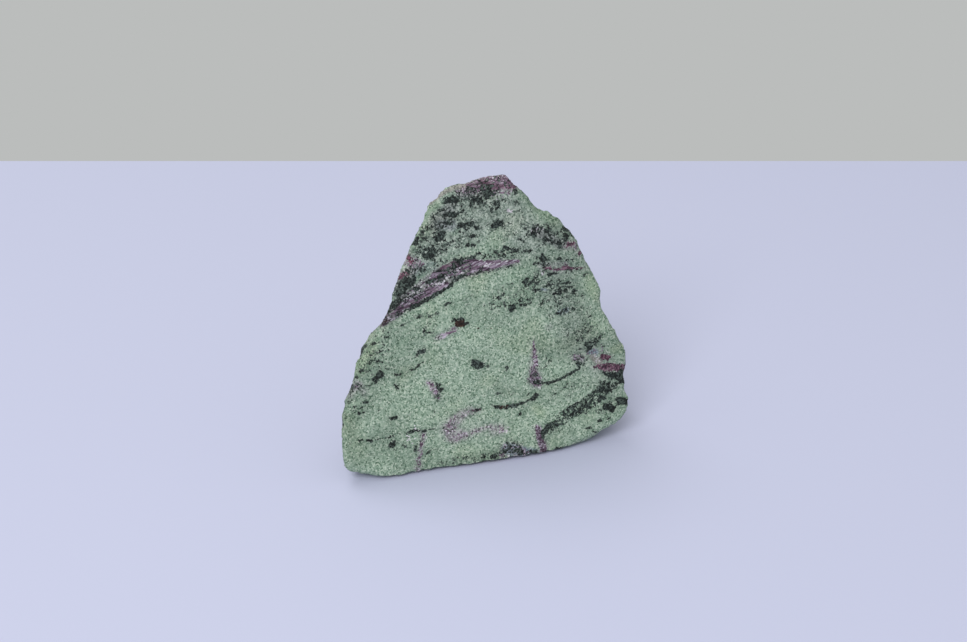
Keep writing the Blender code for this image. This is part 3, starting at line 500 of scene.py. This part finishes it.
# Where ruby too fine to see as grains tinges the green.
MAUVE = dict(
    pink_streak=spot(0.7, 7, (471, 411, 3), (462, 415, 4.6), (454, 422, 6)),
    lower_patch=spot(0.7, 8, (448, 430, 6), (452, 435, 7), (462, 434, 4)),
    lower_arm=vein(0.55, 5, (454, 440, 3), (464, 436, 3.4), (476, 431, 2.4), (491, 426, 2)),
    mottled=spot(0.5, 7, (494, 430, 4.6), (501, 429, 5)),
    purple_patch=spot(0.5, 3, (429, 383, 3.6), (433, 387, 3.6), (437, 395, 3.6)),
    vertical=spot(0.5, 4, (533.5, 350, 2.6), (534, 371, 5), (536, 382, 6)),
    pale_streak=vein(0.35, 3, (423.6, 434, 3), (421, 450, 2.6), (418, 468, 3)),
    small_streak=spot(0.5, 3, (437, 338.6, 2.6), (456, 328, 2.4)),
    streak=vein(0.7, 5, (516, 262, 2), (480, 267, 6), (440, 277, 9), (404, 302, 8), (384, 322, 4)),
    above_thin_ruby=vein(0.35, 4, (540, 263.6, 2.4), (566, 264, 2.4)),
    brown_pink=spot(0.6, 3, (575, 357.2, 3.6), (581, 358.6, 3.8)),
    foot_patch=spot(0.5, 3, (504, 449, 4), (518, 450, 6), (530, 454, 3)),
    rim=spot(0.6, 3, (355, 388, 3.2), (358, 384.5, 2.8)),
    brown_haze=spot(0.3, 4, (548, 328, 2.6), (551, 326, 2.6)),
    cap=vein(0.6, 5, (462, 193, 6), (480, 188, 8), (512, 183, 8)),
    caps_rim=vein(0.6, 4, (464, 185, 4), (484, 179, 4), (508, 176, 4)),
    left_rim=vein(0.5, 8, (350, 396, 4), (356, 384, 5), (364, 392, 4)),
    left_corner=vein(0.5, 6, (402, 258, 6), (418, 264, 5), (400, 284, 8)),
    upper_left=spot(0.4, 8, (452, 206, 6), (436, 222, 8), (450, 224, 6)),
    corner=spot(0.5, 6, (536, 230, 5), (560, 244, 5), (574, 246, 4)),
)

# Where the green is greyer.
GREY = dict(
    top=vein(0.85, 24, (430, 250, 16), (460, 220, 26), (500, 205, 22), (530, 240, 18)),
    beside_streak=vein(0.9, 8, (414, 262, 7), (398, 292, 7)),
    right=vein(0.5, 24, (560, 240, 18), (556, 280, 16), (572, 330, 16), (606, 384, 12)),
    lower_patch=spot(0.4, 14, (446, 430, 10), (500, 430, 8)),
    top_bevel=vein(0.5, 6, (428, 204, 4), (440, 194, 4), (474, 182, 5), (508, 177, 5)),
)

# Where dark specks gather in clumps along the rock's grain.
SPECKLED = dict(
    above_streak=vein(0.85, 14, (424, 250, 14), (450, 225, 22), (494, 210, 18)),
    upper_right=vein(0.6, 16, (556, 262, 14), (562, 280, 14), (570, 312, 16), (590, 340, 14)),
    left=vein(0.6, 18, (350, 408, 10), (368, 376, 16), (392, 340, 12)),
    lower_left=vein(0.35, 14, (360, 440, 10), (400, 452, 12), (430, 458, 8)),
    foot=vein(0.5, 6, (434, 466, 3), (470, 460, 4), (500, 454, 5)),
    right=vein(0.8, 12, (612, 384, 8), (606, 406, 8)),
    over_band=vein(0.5, 14, (560, 395, 6), (590, 380, 8)),
    below_streak=vein(0.55, 14, (470, 300, 8), (506, 292, 12), (540, 296, 16)),
    left_middle=vein(0.4, 16, (398, 330, 8), (430, 322, 10), (410, 360, 10)),
    corner=spot(0.6, 12, (540, 238, 10), (552, 242, 12)),
)

# Where ruby is dark red.
RED = dict(
    red_spot=spot(1, 3, (408, 257, 4), (411, 260, 4)),
    its_halo=spot(0.4, 3, (413, 262, 3), (421, 264.5, 3)),
    red_rim=spot(0.9, 3, (399.5, 277.5, 3.4), (404.5, 275, 4.4), (409, 273.5, 3.4)),
    corner=spot(0.8, 2, (567.5, 245.3, 3), (572.5, 243.5, 3)),
    rim=spot(0.8, 2, (579.3, 254, 2.4), (581.8, 252, 2.6)),
    ruby_oval=spot(0.9, 2, (602.6, 357.3, 3.4), (608, 356.8, 3.4)),
    red_band=vein(0.8, 2, (592, 366.6, 3.4), (604, 366.8, 4.8), (627, 368, 4.6)),
    pink_streaks_end=spot(0.8, 2, (472.5, 410.2, 2), (479, 410.4, 2)),
    thin_ruby=vein(0.8, 3, (544, 268, 3), (586, 268, 2.4)),
    cap=vein(0.25, 4, (456, 192, 6), (472, 190, 7), (514, 183, 8)),
    cap_band=vein(0.5, 3, (484, 182, 4), (490, 187, 4), (506, 188, 3.4), (514, 186, 3)),
    streaks_head=vein(0.5, 3, (443, 268, 4), (451, 265, 4), (460, 263, 2)),
)

# Where ruby is drawn out in fibres along the rock's grain, and not in round grains.
FIBRES = dict(
    streak=vein(1, 5, (520, 261, 5), (490, 265, 8), (450, 272, 10), (404, 306, 9), (382, 325, 6)),
    thin_ruby=vein(1, 4, (540, 267, 3), (585, 268, 3)),
    small_streak=vein(1, 3, (440, 338, 3), (456, 328, 3)),
    cap=vein(0.6, 4, (470, 188, 5), (514, 184, 5)),
)


# ---- The fine surface ----

# Ranges over which things come in: how squarely a point faces as the front face does, as a cosine,
# how many millimetres it lies behind the face's plane, and how high over the ground.
FRONT_FACING = (0.55, 0.85)
RIM_DEPTHS = (1.6, 3.2)
EDGE_DEPTHS = (2.8, 4.4)
FRONT_HEIGHTS = (0.5 * MM, 3.5 * MM)
RISE_HEIGHTS = (0.2 * MM, 1.6 * MM)
SIDEWAYS_HEIGHTS = (-1.2 * MM, 1.6 * MM)

# Where the net's squares are halved: the least cosine and the greatest depth in millimetres.
HALVED_FACING = 0.5
HALVED_DEPTH = 3.5

# The least height of the lower edge's chips, and how much higher they go, both in millimetres.
CHIP_HEIGHT = 0.6
CHIP_SCALLOP = 1.0
SCALLOP_SIZE = 2.5 * MM


def ease(value, low, high):
    """0 below low, 1 above high, and a smooth rise between them."""
    share = np.clip((value - low) / (high - low), 0, 1)
    return share * share * (3 - 2 * share)


def noise_at(points, size, seed=0.0, stretch=None):
    """Smooth noise between about -1 and 1, with bumps about size metres across."""
    scaled = points / size if stretch is None else (points @ stretch.T) / size
    return np.array([noise.noise(Vector(p) + Vector((seed, -seed, 2 * seed))) for p in scaled])


def facets(points, size, seed):
    """Heights between about -0.5 and 0.5 of small flat faces, each leaning its own way."""
    heights = np.empty(len(points))
    for i, point in enumerate(points / size + seed):
        # The factor spreads the centres over more cells, so that each gets a lean of its own.
        centre = noise.voronoi(point)[1][0]
        lean = noise.cell_vector(centre * 3.7) - Vector((0.5, 0.5, 0.5))
        heights[i] = (Vector(point) - centre).dot(lean) + 0.35 * lean.x
    return heights


# The surface's relief in layers: what shapes each, its height in millimetres, its bumps' size and a
# seed. The grains are everywhere, the worn layers on the front face and the broken ones elsewhere.
GRAINY = ((noise_at, 0.07, 1.2 * MM, 3.1), (noise_at, 0.05, 0.55 * MM, 8.7))
WORN = ((facets, 0.16, 2.6 * MM, 4.3), (noise_at, 0.12, 5 * MM, 1.7))
BROKEN = ((facets, 0.55, 5.5 * MM, 9.1), (facets, 0.32, 2.1 * MM, 2.9))


def relief(points, layers):
    """The height in millimetres that the layers add up to."""
    return sum(height * shape(points, size, seed) for shape, height, size, seed in layers)


def add_object(name, data):
    """A new object in the scene."""
    made = bpy.data.objects.new(name, data)
    bpy.context.scene.collection.objects.link(made)
    return made


def read(mesh, what):
    """A vertex property as rows of three."""
    values = np.empty(len(mesh.vertices) * 3, np.float32)
    mesh.vertices.foreach_get(what, values)
    return values.reshape(-1, 3).astype(float)


def even_net(cad):
    """The CAD stone's surface as an even net of small squares, its facets rounded off."""
    piece = add_object("ruby_zoisite", cad.data.copy())
    remesh = piece.modifiers.new("net", "REMESH")
    remesh.mode = "VOXEL"
    remesh.voxel_size = NET_SIZE
    smooth = piece.modifiers.new("smooth", "SMOOTH")
    smooth.factor = 0.5
    smooth.iterations = SMOOTH_STEPS
    applied = piece.evaluated_get(bpy.context.evaluated_depsgraph_get())
    mesh = bpy.data.meshes.new_from_object(applied)
    piece.modifiers.clear()
    piece.data = mesh
    return piece


def behind_face(points):
    """How far behind the front face's plane each point lies, in millimetres."""
    return (FACE_OFFSET - points @ np.array(FACE_NORMAL)) / MM


def on_front(points, normals):
    """1 on the front face, falling to 0 round its broken rim."""
    facing = ease(normals @ np.array(FACE_NORMAL), *FRONT_FACING)
    return facing * (1 - ease(behind_face(points), *RIM_DEPTHS))


def split_front(mesh):
    """Halves the net's squares on the front face, which is seen from nearest."""
    bm = bmesh.new()
    bm.from_mesh(mesh)
    edges = {
        edge
        for face in bm.faces
        if face.normal.dot(FACE_NORMAL) > HALVED_FACING
        and behind_face(np.array(face.calc_center_median())) < HALVED_DEPTH
        for edge in face.edges
    }
    bmesh.ops.subdivide_edges(bm, edges=list(edges), cuts=1, use_grid_fill=True)
    bm.to_mesh(mesh)
    bm.free()


def chipped_to(points):
    """The height that the front's lower edge is chipped up to, so that it stands in its own shade."""
    scallop = 0.5 + 0.5 * noise_at(points, SCALLOP_SIZE, seed=33.0)
    height = (CHIP_HEIGHT + CHIP_SCALLOP * scallop) * MM
    return height * (1 - ease(behind_face(points), *EDGE_DEPTHS))


def roughen(mesh):
    """Breaks the surface up, low on the front face and deeper elsewhere, but leaves the foot flat."""
    points, normals = read(mesh, "co"), read(mesh, "normal")
    above_ground = points[:, 2]
    front = on_front(points, normals) * ease(above_ground, *FRONT_HEIGHTS)
    fine = relief(points, GRAINY)
    height = fine + front * relief(points, WORN) + (1 - front) * (relief(points, BROKEN) + fine)
    rise = height * ease(above_ground, *RISE_HEIGHTS)
    sideways = height * ease(above_ground, *SIDEWAYS_HEIGHTS)
    points += normals * np.stack([sideways, sideways, rise], 1) * MM
    points[:, 2] = np.maximum(points[:, 2], chipped_to(points))
    low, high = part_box(CAD_NODE)
    points = np.clip(points, np.array(low), np.array(high))
    mesh.vertices.foreach_set("co", points.astype(np.float32).ravel())
    mesh.update()


# ---- Minerals on the surface ----

# Edges of marks wander by up to RAGGED pixels from grain to grain, and from DRIFT_DEPTH millimetres
# in by DRIFT pixels more for each, because veins don't run straight into the rock.
RAGGED = 1.4
RAGGED_SIZE = 0.8 * MM
DRIFT = 1.5
DRIFT_SIZE = 9 * MM
DRIFT_DEPTH = 1.5

# The depths in millimetres over which veins lose most of their grains, spots lose all of theirs,
# and the minerals of the hidden sides come in.
VEIN_DEPTHS = (9, 17)
VEIN_LOSS = 0.75
SPOT_DEPTHS = (2.2, 4.5)
HIDDEN_DEPTHS = (4, 8)


def inside(x, y, line):
    """How many pixels inside the mark's edge each point is, negative outside."""
    most = np.full(len(x), -1e9)
    for (x0, y0, w0), (x1, y1, w1) in zip(line, line[1:]):
        length = (x1 - x0) ** 2 + (y1 - y0) ** 2
        along = np.clip(((x - x0) * (x1 - x0) + (y - y0) * (y1 - y0)) / length, 0, 1)
        away = np.hypot(x - x0 - along * (x1 - x0), y - y0 - along * (y1 - y0))
        most = np.maximum(most, w0 + along * (w1 - w0) - away)
    return most


class Surface:
    """The finished mesh's points, with where the photograph would show each one's mineral."""

    def __init__(self, mesh):
        self.points = read(mesh, "co")
        self.depth = behind_face(self.points)
        x, y = in_photograph(self.points)
        drift = DRIFT * np.clip(self.depth - DRIFT_DEPTH, 0, None)
        self.x = x + self.wander(RAGGED, RAGGED_SIZE, 5.5) + self.wander(drift, DRIFT_SIZE, 31.0)
        self.y = y + self.wander(RAGGED, RAGGED_SIZE, 21.5) + self.wander(drift, DRIFT_SIZE, 41.0)
        self.in_rock = 1 - VEIN_LOSS * ease(self.depth, *VEIN_DEPTHS)
        self.in_skin = 1 - ease(self.depth, *SPOT_DEPTHS)

    def wander(self, pixels, size, seed):
        """How many pixels each point's place wanders by."""
        return pixels * noise_at(self.points, size, seed)

    def share(self, marks, base=0.0, halo=0.0):
        """The share of one mineral's grains at each point: its marks, softened by a halo, over a base."""
        rest = 1 - np.clip(base, 0, 1) * np.ones(len(self.x))
        for mark in marks.values():
            reach = mark.fade / 2 + halo
            within = ease(inside(self.x, self.y, mark.points) + halo, -reach, reach)
            rest *= 1 - mark.density * within * (self.in_skin if mark.shallow else self.in_rock)
        return 1 - rest


def grain_axes():
    """Rows: along the rock's grain on the front face, across it, and the way it runs into the rock."""
    across_face = Vector((1, 0, 0))
    up_face = Vector((0, math.sin(FACE_LEAN), math.cos(FACE_LEAN)))
    along = math.cos(GRAIN_RISE) * across_face + math.sin(GRAIN_RISE) * up_face
    inwards = (-BACK + BACK.dot(along) * along).normalized()
    return along, inwards.cross(along).normalized(), inwards


GRAIN_AXES = np.array([list(axis) for axis in grain_axes()])


def lenses(points, count, length, thickness, seed):
    """The share of a mineral in lenses along the rock's grain, on its hidden sides.

    The least and greatest half-lengths and half-thicknesses are in millimetres.
    """
    least_depth = 5
    rng = random.Random(seed)
    hidden = points[behind_face(points) > least_depth]
    share = np.zeros(len(points))
    for _ in range(count):
        centre = hidden[rng.randrange(len(hidden))]
        half = np.array([rng.uniform(*length), rng.uniform(*thickness), rng.uniform(*length)]) * MM
        away = (points - centre) @ GRAIN_AXES.T / half
        share = np.maximum(share, rng.uniform(0.6, 1) * (1 - ease((away ** 2).sum(1), 0.5, 1.3)))
    return share


def specks(points, speckled, broad):
    """The share of dark specks, which lie in short rows along the rock's grain."""
    drawn_out = np.diag([0.3, 1.0, 0.45]) @ GRAIN_AXES
    streaky = noise_at(points, 1.5 * MM, seed=12.0, stretch=drawn_out)
    return 0.02 + (0.08 + 0.5 * speckled) * ease(streaky + 0.35 * broad, -0.25, 0.7)


def shading(points, speckled, broad, near_dark):
    """How much darker the rock is all over: in patches, more where it is speckled or near black."""
    mottle = noise_at(points, 1.5 * MM, seed=27.0) + 0.6 * noise_at(points, 0.8 * MM, seed=28.0)
    return 0.12 + 0.12 * broad + speckled * (0.14 + 0.5 * mottle) + 0.3 * near_dark


def paint_minerals(mesh):
    """Stores how much of each mineral and tint is at each point, for the material to read."""
    surface = Surface(mesh)
    points = surface.points
    hidden = ease(surface.depth, *HIDDEN_DEPTHS)
    broad = noise_at(points, 9 * MM, seed=15.0)
    speckled = surface.share(SPECKLED, 0.6 * hidden)
    near_dark = surface.share(HORNBLENDE, halo=2.5)
    near_ruby = surface.share(RUBY, halo=2.5)
    dark_lenses = lenses(points, count=110, length=(1.2, 4), thickness=(0.8, 2), seed=21)
    dark_bands = lenses(points, count=14, length=(9, 20), thickness=(0.8, 2.2), seed=22)
    ruby_lenses = lenses(points, count=16, length=(3, 12), thickness=(0.8, 2.4), seed=23)
    rust_lenses = lenses(points, count=10, length=(0.8, 2), thickness=(0.8, 1.4), seed=24)
    hidden_dark = hidden * np.maximum(dark_lenses, 0.7 * dark_bands)
    for name, marks, base in (
        ("hornblende", HORNBLENDE, specks(points, speckled, broad) + hidden_dark),
        ("ruby", RUBY, hidden * ruby_lenses),
        ("pale", PALE_AND_GLINTS, 0.25 * hidden * ruby_lenses),
        ("rust", RUST, 0.9 * hidden * rust_lenses),
        ("yellow", YELLOW_GREEN, 0.35 * ease(broad, 0.1, 0.6)),
        ("deep_and_shaded", DEEP_GREEN_AND_SHADE, 0.3 * ease(-broad, 0.15, 0.6)),
        ("blue", BLUE_GREY_AND_GLINT, 0.0),
        ("tan", TAN, 0.0),
        ("mauve", MAUVE, 0.5 * hidden * ruby_lenses + 0.3 * near_ruby),
        ("grey", GREY, 0.3 * hidden),
        ("red", RED, 0.25 * hidden),
        ("fibres", FIBRES, hidden),
        ("shade", SHADE, shading(points, speckled, broad, near_dark)),
    ):
        layer = mesh.attributes.new(name, "FLOAT", "POINT")
        layer.data.foreach_set("value", surface.share(marks, base).astype(np.float32))


# ---- Materials ----

# Colours are on a screen's scale of 0 to 255. Each mineral's run from its darkest grains, at 0, to
# its palest, at 1.
ZOISITE_TONES = (
    (0.0, (82, 106, 86)), (0.14, (112, 136, 117)), (0.38, (142, 163, 144)), (0.72, (158, 178, 158)),
    (1.0, (192, 205, 187)),
)
PALE_TONES = ((0.0, (178, 171, 178)), (1.0, (240, 236, 240)))
RUBY_TONES = (
    (0.0, (60, 45, 58)), (0.28, (93, 72, 89)), (0.55, (123, 103, 120)), (0.8, (156, 141, 157)),
    (1.0, (210, 202, 214)),
)
RED_TONES = ((0.0, (44, 27, 37)), (0.5, (82, 46, 63)), (1.0, (134, 92, 107)))
HORNBLENDE_TONES = ((0.0, (16, 20, 19)), (0.55, (41, 49, 46)), (1.0, (94, 108, 100)))
RUST_TONES = ((0.0, (27, 21, 19)), (0.5, (50, 37, 31)), (1.0, (90, 66, 53)))

# The darkest and palest tones that zoisite has where an attribute says so, after how far it takes
# them on.
ZOISITE_TINTS = {
    "grey": (0.6, (84, 94, 90), (184, 190, 184)),
    "mauve": (0.8, (86, 70, 84), (182, 172, 182)),
    "blue": (0.6, (120, 130, 156), (160, 170, 196)),
    "tan": (0.85, (112, 107, 104), (182, 175, 170)),
}

# Colours that zoisite is multiplied by in the same way, and the one for shade over all minerals, both darker
# rock with painted shade in places.
ZOISITE_CASTS = {"yellow": (0.6, (252, 248, 218)), "deep_and_shaded": (0.5, (208, 228, 212))}
SHADE_CAST = (168, 172, 172)

# Round the stone.
FLOOR_COLOUR = (193, 196, 220)
WALL_COLOUR = (187, 189, 188)


def colour(red, green, blue):
    """A colour given on a screen's scale of 0 to 255."""
    def linear(value):
        value /= 255
        return value / 12.92 if value <= 0.04045 else ((value + 0.055) / 1.055) ** 2.4
    return linear(red), linear(green), linear(blue), 1.0


class Nodes:
    """Adds nodes to a material, each fed by values or by other nodes' outputs."""

    def __init__(self, name):
        self.material = bpy.data.materials.new(name)
        self.material.use_nodes = True
        self.tree = self.material.node_tree
        self.shader = self.tree.nodes["Principled BSDF"]

    def feed(self, node, inputs):
        for name, value in inputs.items():
            if isinstance(value, bpy.types.NodeSocket):
                self.tree.links.new(value, node.inputs[name])
            else:
                node.inputs[name].default_value = value

    def add(self, kind, inputs, **settings):
        node = self.tree.nodes.new("ShaderNode" + kind)
        for name, value in settings.items():
            setattr(node, name, value)
        self.feed(node, inputs)
        return node

    def matt(self, inputs):
        """The finished material, which shines little, with these inputs of its shader."""
        self.feed(self.shader, {"Specular IOR Level": 0.25, **inputs})
        return self.material

    def math(self, operation, *values, clamp=False):
        inputs = dict(enumerate(values))
        return self.add("Math", inputs, operation=operation, use_clamp=clamp).outputs[0]

    def times(self, value, factor):
        return self.math("MULTIPLY", value, factor)

    def vector_math(self, operation, *values):
        return self.add("VectorMath", dict(enumerate(values)), operation=operation).outputs[0]

    def mix(self, share, low, high, blend="MIX"):
        """A share of one colour over another."""
        node = self.add("Mix", {0: share, 6: low, 7: high}, data_type="RGBA", blend_type=blend)
        return node.outputs[2]

    def blend(self, share, low, high):
        """The same for plain numbers."""
        return self.add("Mix", {0: share, 2: low, 3: high}, data_type="FLOAT").outputs[0]

    def clumped(self, grain, clump):
        """A random pick for each grain that is likely to be near its neighbours'."""
        mean = self.blend(CLUMPING, grain, clump)
        return self.add("MapRange", {"Value": mean}, interpolation_type="SMOOTHSTEP").outputs[0]

    def taken(self, pick, share, softness):
        """1 on the given share of grains, by each grain's random pick, with some grains in between."""
        past = self.math("SUBTRACT", self.times(share, 1 + softness), pick)
        return self.math("DIVIDE", past, softness, clamp=True)

    def ramp(self, value, tones):
        node = self.add("ValToRGB", {0: value})
        ramp = node.color_ramp
        while len(ramp.elements) < len(tones):
            ramp.elements.new(0.5)
        for element, (place, tone) in zip(ramp.elements, tones):
            element.position = place
            element.color = colour(*tone)
        return node.outputs[0]

    def attribute(self, name):
        """A number stored at the mesh's points."""
        return self.add("Attribute", {}, attribute_name=name, attribute_type="GEOMETRY").outputs["Fac"]

    def cells(self, place, size, turn=(0, 0, 0)):
        """Grains of a size in metres: three random values for each, and the distance from its centre."""
        scaled = self.add(
            "Mapping", {"Vector": place, "Rotation": turn, "Scale": size}, vector_type="TEXTURE",
        )
        grains = self.add("TexVoronoi", {"Vector": scaled.outputs[0], "Scale": 1.0}, feature="F1")
        split = self.add("SeparateColor", {0: grains.outputs["Color"]})
        return list(split.outputs[:3]), grains.outputs["Distance"]

    def noise(self, place, size, detail):
        """Smooth noise with bumps of a size in metres."""
        scaled = self.add("Mapping", {"Vector": place, "Scale": (size,) * 3}, vector_type="TEXTURE")
        return self.add("TexNoise", {"Vector": scaled.outputs[0], "Scale": 1.0, "Detail": detail})


def zoisite_colour(nodes, tone):
    """Green, tinted and deepened where the attributes say so."""
    shown = nodes.ramp(tone, ZOISITE_TONES)
    for name, (strength, dark, pale) in ZOISITE_TINTS.items():
        share = nodes.times(nodes.attribute(name), strength)
        shown = nodes.mix(share, shown, nodes.ramp(tone, ((0.0, dark), (1.0, pale))))
    for name, (strength, cast) in ZOISITE_CASTS.items():
        share = nodes.times(nodes.attribute(name), strength)
        shown = nodes.mix(share, shown, colour(*cast), "MULTIPLY")
    return shown


def rock_material():
    """Sugary green zoisite, with hornblende, ruby and pale grains, painted glints and painted shade where
    the attributes put them.
    """
    nodes = Nodes("ruby_zoisite")
    place = nodes.add("TexCoord", {}).outputs["Object"]
    wander = nodes.noise(place, WANDER_SIZE, detail=3.0).outputs["Color"]
    wander = nodes.vector_math("SUBTRACT", wander, (0.5,) * 3)
    place = nodes.vector_math("ADD", place, nodes.vector_math("MULTIPLY", wander, (WANDER,) * 3))

    grains, grain_distance = nodes.cells(place, (GRAIN_SIZE,) * 3)
    clumps, _ = nodes.cells(place, (CLUMP_SIZE,) * 3)
    turn = Matrix(GRAIN_AXES.tolist()).transposed().to_euler()
    threads, _ = nodes.cells(place, THREAD_SIZE, tuple(turn))
    fibres = nodes.attribute("fibres")

    # Each grain's mineral comes from one of its random values, and its tone from another.
    tone = grains[1]
    ruby_tone = nodes.blend(fibres, grains[0], threads[1])
    ruby = nodes.mix(
        nodes.attribute("red"), nodes.ramp(ruby_tone, RUBY_TONES), nodes.ramp(ruby_tone, RED_TONES),
    )
    shown = zoisite_colour(nodes, tone)
    for name, pick, softness, grain_colour in (
        ("pale", grains[2], 0.05, nodes.ramp(tone, PALE_TONES)),
        ("ruby", nodes.blend(fibres, grains[2], threads[0]), 0.15, ruby),
        ("hornblende", nodes.clumped(grains[0], clumps[0]), 0.25, nodes.ramp(tone, HORNBLENDE_TONES)),
        ("rust", grains[2], 0.1, nodes.ramp(tone, RUST_TONES)),
    ):
        shown = nodes.mix(nodes.taken(pick, nodes.attribute(name), softness), shown, grain_colour)
    # Shade over all minerals: darker rock, and painted shade in places.
    shown = nodes.mix(nodes.attribute("shade"), shown, colour(*SHADE_CAST), "MULTIPLY")
    rough = nodes.add("MapRange", {"Value": grains[0], "To Min": 0.62, "To Max": 0.95}).outputs[0]

    # Each grain is a small dome, higher or lower than its neighbours, with crumbs on it.
    dome = nodes.times(grain_distance, -0.6)
    height = nodes.math("ADD", dome, nodes.times(grains[2], 0.5))
    crumbs = nodes.noise(place, CRUMB_SIZE, detail=2.0).outputs[0]
    height = nodes.math("ADD", height, nodes.times(crumbs, 0.5))
    bump = nodes.add("Bump", {"Height": height, "Strength": 0.55, "Distance": GRAIN_HEIGHT})
    return nodes.matt({"Base Color": shown, "Roughness": rough, "Normal": bump.outputs[0]})


def floor_material():
    """A pale matt table."""
    return Nodes("floor").matt({"Base Color": colour(*FLOOR_COLOUR), "Roughness": 0.6})


# ---- The scene ----

def make_stone():
    """The stone, in place of the CAD stone."""
    piece = even_net(STONE)
    split_front(piece.data)
    roughen(piece.data)
    piece.data.shade_smooth()
    paint_minerals(piece.data)
    piece.data.materials.clear()
    piece.data.materials.append(rock_material())
    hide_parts(CAD_NODE)
    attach(piece, "root")


def make_floor():
    """A pale table, whose far edge crosses the picture behind the stone."""
    far, near, half_width = 0.227, 3.0, 3.0
    right = Vector((RIGHT.x, RIGHT.y, 0)).normalized()
    away = Vector((-BACK.x, -BACK.y, 0)).normalized()
    centre = Vector((AIM.x, AIM.y, 0))
    corners = [
        centre + side * half_width * right + depth * away
        for side, depth in ((-1, -near), (1, -near), (1, far), (-1, far))
    ]
    mesh = bpy.data.meshes.new("floor")
    mesh.from_pydata(corners, [], [(0, 1, 2, 3)])
    mesh.materials.append(floor_material())
    add_object("floor", mesh)


def make_light(name, azimuth, elevation, distance, size, watts):
    """A soft square light that faces the stone from a direction in degrees."""
    data = bpy.data.lights.new(name, "AREA")
    data.size = size
    data.energy = watts
    light = add_object(name, data)
    back = direction(math.radians(azimuth), math.radians(elevation))
    light.location = AIM + distance * back
    light.rotation_euler = back.to_track_quat("Z", "Y").to_euler()


def make_world():
    """Soft grey light from all round, which is also the wall behind the table."""
    world = bpy.data.worlds.new("studio")
    world.use_nodes = True
    background = world.node_tree.nodes["Background"]
    background.inputs["Color"].default_value = colour(*WALL_COLOUR)
    background.inputs["Strength"].default_value = 1.0
    bpy.context.scene.world = world


def make_camera():
    """The camera that took the photograph."""
    data = bpy.data.cameras.new("camera")
    data.sensor_width = SENSOR_MM
    data.sensor_fit = "HORIZONTAL"
    data.lens = SENSOR_MM * FOCAL_PX / PHOTO_WIDTH
    data.clip_start, data.clip_end = 0.05, 20
    camera = add_object("camera", data)
    turn = Matrix((RIGHT, UP, BACK)).transposed().to_4x4()
    camera.matrix_world = Matrix.Translation(CAMERA_PLACE) @ turn
    bpy.context.scene.camera = camera


make_stone()
make_floor()
make_light("key", azimuth=-38, elevation=38, distance=2.0, size=1.0, watts=27.0)
make_light("back", azimuth=-158, elevation=60, distance=2.0, size=1.2, watts=11.5)
make_world()
make_camera()
bpy.context.scene.view_settings.view_transform = "Standard"
